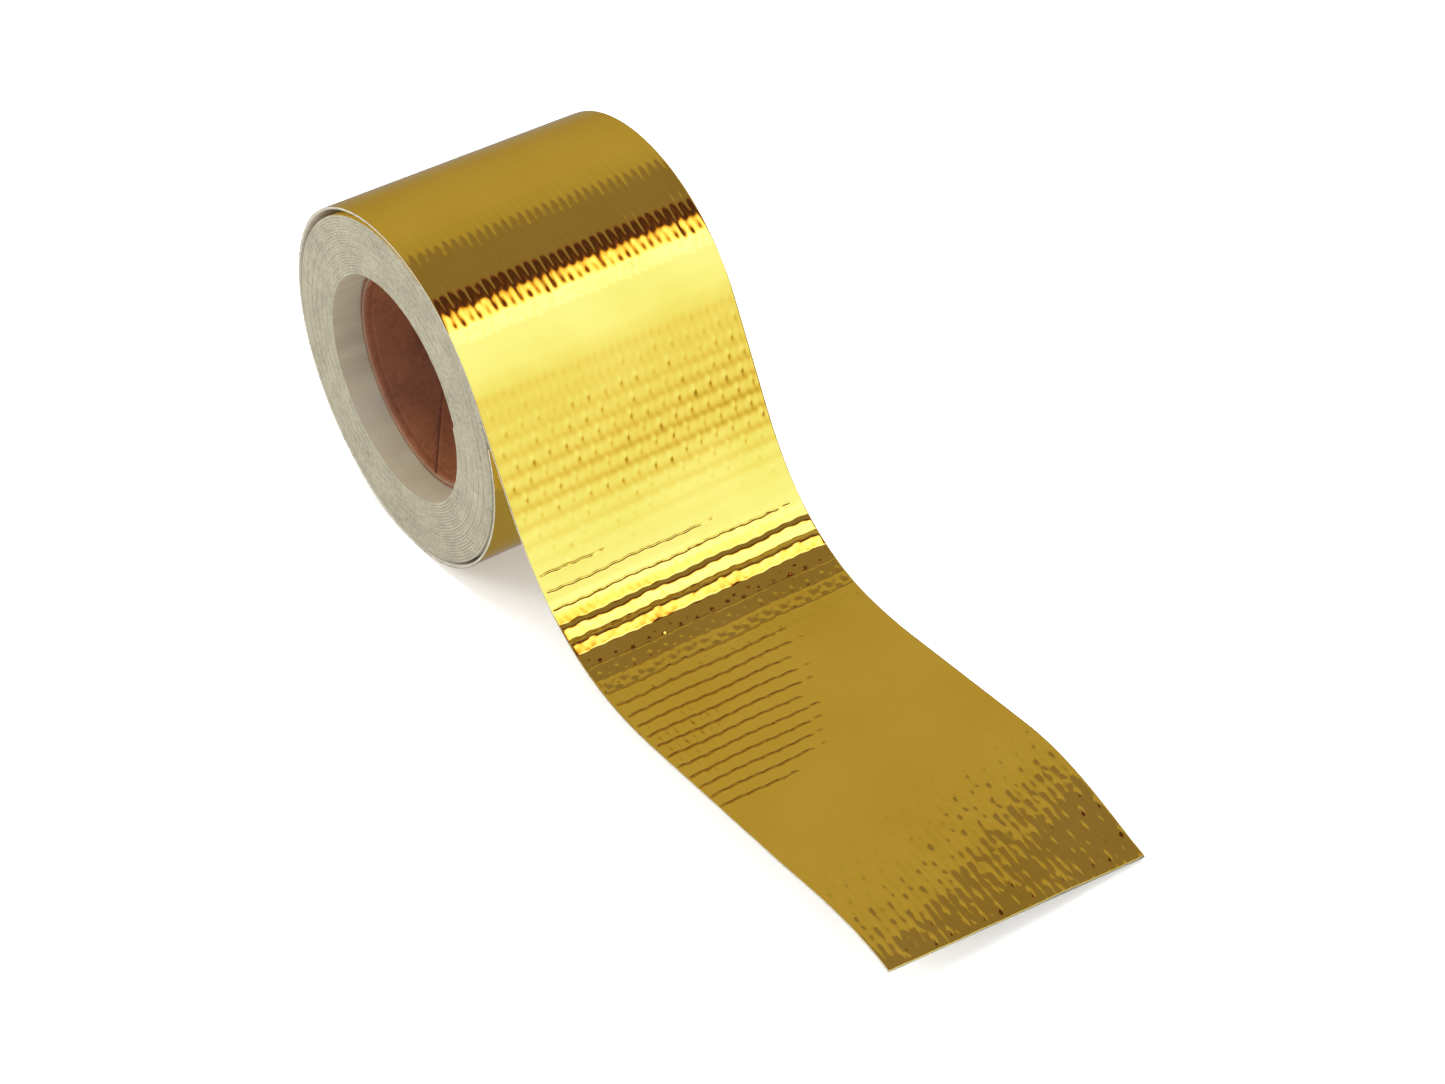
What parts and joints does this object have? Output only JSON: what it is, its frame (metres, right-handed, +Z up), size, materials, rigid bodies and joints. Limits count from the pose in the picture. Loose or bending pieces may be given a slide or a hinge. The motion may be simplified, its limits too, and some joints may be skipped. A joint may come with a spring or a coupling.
{
  "type": "foil tape roll",
  "caption": "Partly unwound roll of gold film tape on glass cloth with a release liner, on a spiral-wound cardboard core, its free end lying forward.",
  "frame": {"origin": "on the surface that the roll stands on, under the middle of its box", "axes": "+Z up, the roll's axis along Y, the free tail runs off towards +X"},
  "size_m": [0.1718, 0.0508, 0.0656],
  "materials": {
    "core_inner_ply": "matte",
    "core_middle_ply": "matte",
    "core_outer_ply": "matte",
    "wound_pack": "matte",
    "liner": "satin",
    "adhesive": "satin",
    "glass_cloth": "matte",
    "gold_film": "polished"
  },
  "bodies": {
    "outer_turn": {"outer_turn_liner": "liner", "outer_turn_adhesive": "adhesive", "outer_turn_glass_cloth": "glass_cloth", "outer_turn_gold_film": "gold_film"},
    "spool": {"core_inner_ply": "core_inner_ply", "core_middle_ply": "core_middle_ply", "core_outer_ply": "core_outer_ply", "wound_pack": "wound_pack"},
    "tail": {"tail_liner": "liner", "tail_adhesive": "adhesive", "tail_glass_cloth": "glass_cloth", "tail_gold_film": "gold_film"}
  },
  "joints": [
    {"name": "roll_turns", "type": "hinge", "parent": "outer_turn", "child": "spool", "pos_m": [-0.05315, 0, 0.03277], "axis": [0, 1, 0], "continuous": true},
    {"name": "tail_lift", "type": "hinge", "parent": "outer_turn", "child": "tail", "pos_m": [-0.0237, 0, 0.04717], "axis": [0, -1, 0], "range_deg": [0, 70]}
  ]
}
